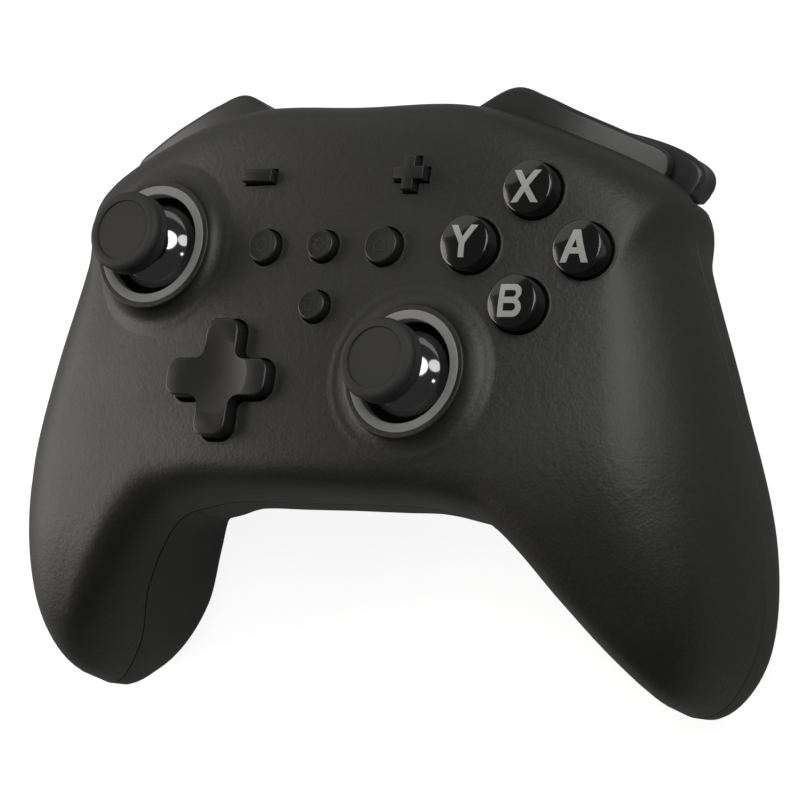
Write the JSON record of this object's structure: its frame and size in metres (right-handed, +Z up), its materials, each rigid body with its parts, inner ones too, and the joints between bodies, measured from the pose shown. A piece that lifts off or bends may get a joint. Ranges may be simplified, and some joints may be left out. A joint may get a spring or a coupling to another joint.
{
  "type": "gamepad controller",
  "caption": "Handheld game controller with two offset thumbsticks, a direction pad, face buttons, bumpers, pull triggers and two swept grips.",
  "frame": {"origin": "on the surface the pad lies on, under the middle of its bounding box", "axes": "+X to the pad's right as held, +Y towards its top edge with the bumpers, +Z up; the face looks up and leans 16 degrees towards +Y"},
  "size_m": [0.1536, 0.1144, 0.0564],
  "materials": {
    "shell": "fine-grained charcoal",
    "grip": "fine micro-textured dark grey",
    "ring": "flat mid grey",
    "stick_rubber": "matte dark rubber",
    "dome": "glossy gunmetal",
    "gloss": "gloss black",
    "satin": "satin black",
    "membrane": "grey silicone",
    "board": "green board",
    "cell": "wrapped cell",
    "weight": "turned weight",
    "steel": "plain steel",
    "inner": "plain dark plastic"
  },
  "bodies": {
    "body": {"front_shell": "shell", "rear_shell": "shell", "left_grip_cover": "grip", "right_grip_cover": "grip", "left_stick_ring": "ring", "left_stick_base": "inner", "right_stick_ring": "ring", "right_stick_base": "inner", "dpad_bracket": "steel", "dpad_membrane": "membrane", "action_membrane": "membrane", "centre_membrane": "membrane", "bumper_pins": "steel", "bumper_switches": "inner", "trigger_pins": "steel", "trigger_springs": "steel", "shoulder_frame": "inner", "main_board": "board", "battery": "cell", "usb_port": "steel", "left_rumble_motor": "steel", "right_rumble_motor": "steel", "case_screws": "steel", "board_screws": "steel"},
    "button_a": {"button_a": "gloss"},
    "button_b": {"button_b": "gloss"},
    "button_x": {"button_x": "gloss"},
    "button_y": {"button_y": "gloss"},
    "minus_button": {"minus_button": "satin"},
    "plus_button": {"plus_button": "satin"},
    "capture_button": {"capture_button": "satin"},
    "settings_button": {"settings_button": "satin"},
    "home_button": {"home_button": "satin"},
    "macro_button": {"macro_button": "satin"},
    "left_yoke": {"left_stick_yoke": "steel"},
    "left_pivot": {"left_stick_pivot": "steel"},
    "left_stick": {"left_stick_cap": "stick_rubber", "left_stick_dome": "dome", "left_stick_shaft": "inner"},
    "right_yoke": {"right_stick_yoke": "steel"},
    "right_pivot": {"right_stick_pivot": "steel"},
    "right_stick": {"right_stick_cap": "stick_rubber", "right_stick_dome": "dome", "right_stick_shaft": "inner"},
    "dpad_rocker": {"dpad_pivot": "steel"},
    "dpad": {"dpad": "satin"},
    "left_bumper": {"left_bumper": "satin"},
    "left_trigger": {"left_trigger": "gloss"},
    "left_weight": {"left_rumble_weight": "weight"},
    "right_bumper": {"right_bumper": "satin"},
    "right_trigger": {"right_trigger": "gloss"},
    "right_weight": {"right_rumble_weight": "weight"}
  },
  "joints": [
    {"name": "button_a_press", "type": "slide", "parent": "body", "child": "button_a", "axis": [0, -0.2756, -0.9613], "range_m": [0, 0.0015], "stiffness_N_per_m": 400, "springref_m": -0.0015},
    {"name": "button_b_press", "type": "slide", "parent": "body", "child": "button_b", "axis": [0, -0.2756, -0.9613], "range_m": [0, 0.0015], "stiffness_N_per_m": 400, "springref_m": -0.0015},
    {"name": "button_x_press", "type": "slide", "parent": "body", "child": "button_x", "axis": [0, -0.2756, -0.9613], "range_m": [0, 0.0015], "stiffness_N_per_m": 400, "springref_m": -0.0015},
    {"name": "button_y_press", "type": "slide", "parent": "body", "child": "button_y", "axis": [0, -0.2756, -0.9613], "range_m": [0, 0.0015], "stiffness_N_per_m": 400, "springref_m": -0.0015},
    {"name": "minus_press", "type": "slide", "parent": "body", "child": "minus_button", "axis": [0, -0.2756, -0.9613], "range_m": [0, 0.001], "stiffness_N_per_m": 600, "springref_m": -0.001},
    {"name": "plus_press", "type": "slide", "parent": "body", "child": "plus_button", "axis": [0, -0.2756, -0.9613], "range_m": [0, 0.001], "stiffness_N_per_m": 600, "springref_m": -0.001},
    {"name": "capture_press", "type": "slide", "parent": "body", "child": "capture_button", "axis": [0, -0.2756, -0.9613], "range_m": [0, 0.001], "stiffness_N_per_m": 600, "springref_m": -0.001},
    {"name": "settings_press", "type": "slide", "parent": "body", "child": "settings_button", "axis": [0, -0.2756, -0.9613], "range_m": [0, 0.001], "stiffness_N_per_m": 600, "springref_m": -0.001},
    {"name": "home_press", "type": "slide", "parent": "body", "child": "home_button", "axis": [0, -0.2756, -0.9613], "range_m": [0, 0.001], "stiffness_N_per_m": 600, "springref_m": -0.001},
    {"name": "macro_press", "type": "slide", "parent": "body", "child": "macro_button", "axis": [0, -0.2756, -0.9613], "range_m": [0, 0.001], "stiffness_N_per_m": 600, "springref_m": -0.001},
    {"name": "left_stick_up_down", "type": "hinge", "parent": "body", "child": "left_yoke", "pos_m": [-0.0378, 0.02773, 0.03343], "axis": [1, 0, 0], "range_deg": [-15, 15], "stiffness_Nm_per_rad": 0.08},
    {"name": "left_stick_left_right", "type": "hinge", "parent": "left_yoke", "child": "left_pivot", "pos_m": [-0.0378, 0.02773, 0.03343], "axis": [0, 0.9613, -0.2756], "range_deg": [-15, 15], "stiffness_Nm_per_rad": 0.08},
    {"name": "left_stick_click", "type": "slide", "parent": "left_pivot", "child": "left_stick", "axis": [0, -0.2756, -0.9613], "range_m": [0, 0.0005], "stiffness_N_per_m": 4000, "springref_m": -0.0004},
    {"name": "right_stick_up_down", "type": "hinge", "parent": "body", "child": "right_yoke", "pos_m": [0.0212, 0.00485, 0.03999], "axis": [1, 0, 0], "range_deg": [-15, 15], "stiffness_Nm_per_rad": 0.08},
    {"name": "right_stick_left_right", "type": "hinge", "parent": "right_yoke", "child": "right_pivot", "pos_m": [0.0212, 0.00485, 0.03999], "axis": [0, 0.9613, -0.2756], "range_deg": [-15, 15], "stiffness_Nm_per_rad": 0.08},
    {"name": "right_stick_click", "type": "slide", "parent": "right_pivot", "child": "right_stick", "axis": [0, -0.2756, -0.9613], "range_m": [0, 0.0005], "stiffness_N_per_m": 4000, "springref_m": -0.0004},
    {"name": "dpad_up_down", "type": "hinge", "parent": "body", "child": "dpad_rocker", "pos_m": [-0.0182, 0.00355, 0.04161], "axis": [1, 0, 0], "range_deg": [-5, 5], "stiffness_Nm_per_rad": 0.12},
    {"name": "dpad_left_right", "type": "hinge", "parent": "dpad_rocker", "child": "dpad", "pos_m": [-0.0182, 0.00355, 0.04161], "axis": [0, 0.9613, -0.2756], "range_deg": [-5, 5], "stiffness_Nm_per_rad": 0.12},
    {"name": "left_bumper_press", "type": "hinge", "parent": "body", "child": "left_bumper", "pos_m": [-0.0183, 0.04629, 0.01833], "axis": [0, 0.2756, 0.9613], "range_deg": [0, 2.2], "stiffness_Nm_per_rad": 0.4, "springref_deg": -3},
    {"name": "left_trigger_pull", "type": "hinge", "parent": "body", "child": "left_trigger", "pos_m": [-0.0355, 0.04327, 0.00962], "axis": [-1, 0, 0], "range_deg": [0, 14], "stiffness_Nm_per_rad": 0.05, "springref_deg": -10},
    {"name": "left_weight_spin", "type": "hinge", "parent": "body", "child": "left_weight", "pos_m": [-0.0596, -0.023, 0.01323], "axis": [0, 0.9613, -0.2756], "continuous": true},
    {"name": "right_bumper_press", "type": "hinge", "parent": "body", "child": "right_bumper", "pos_m": [0.0183, 0.04629, 0.01833], "axis": [0, -0.2756, -0.9613], "range_deg": [0, 2.2], "stiffness_Nm_per_rad": 0.4, "springref_deg": -3},
    {"name": "right_trigger_pull", "type": "hinge", "parent": "body", "child": "right_trigger", "pos_m": [0.0355, 0.04327, 0.00962], "axis": [-1, 0, 0], "range_deg": [0, 14], "stiffness_Nm_per_rad": 0.05, "springref_deg": -10},
    {"name": "right_weight_spin", "type": "hinge", "parent": "body", "child": "right_weight", "pos_m": [0.0596, -0.023, 0.01323], "axis": [0, 0.9613, -0.2756], "continuous": true}
  ]
}
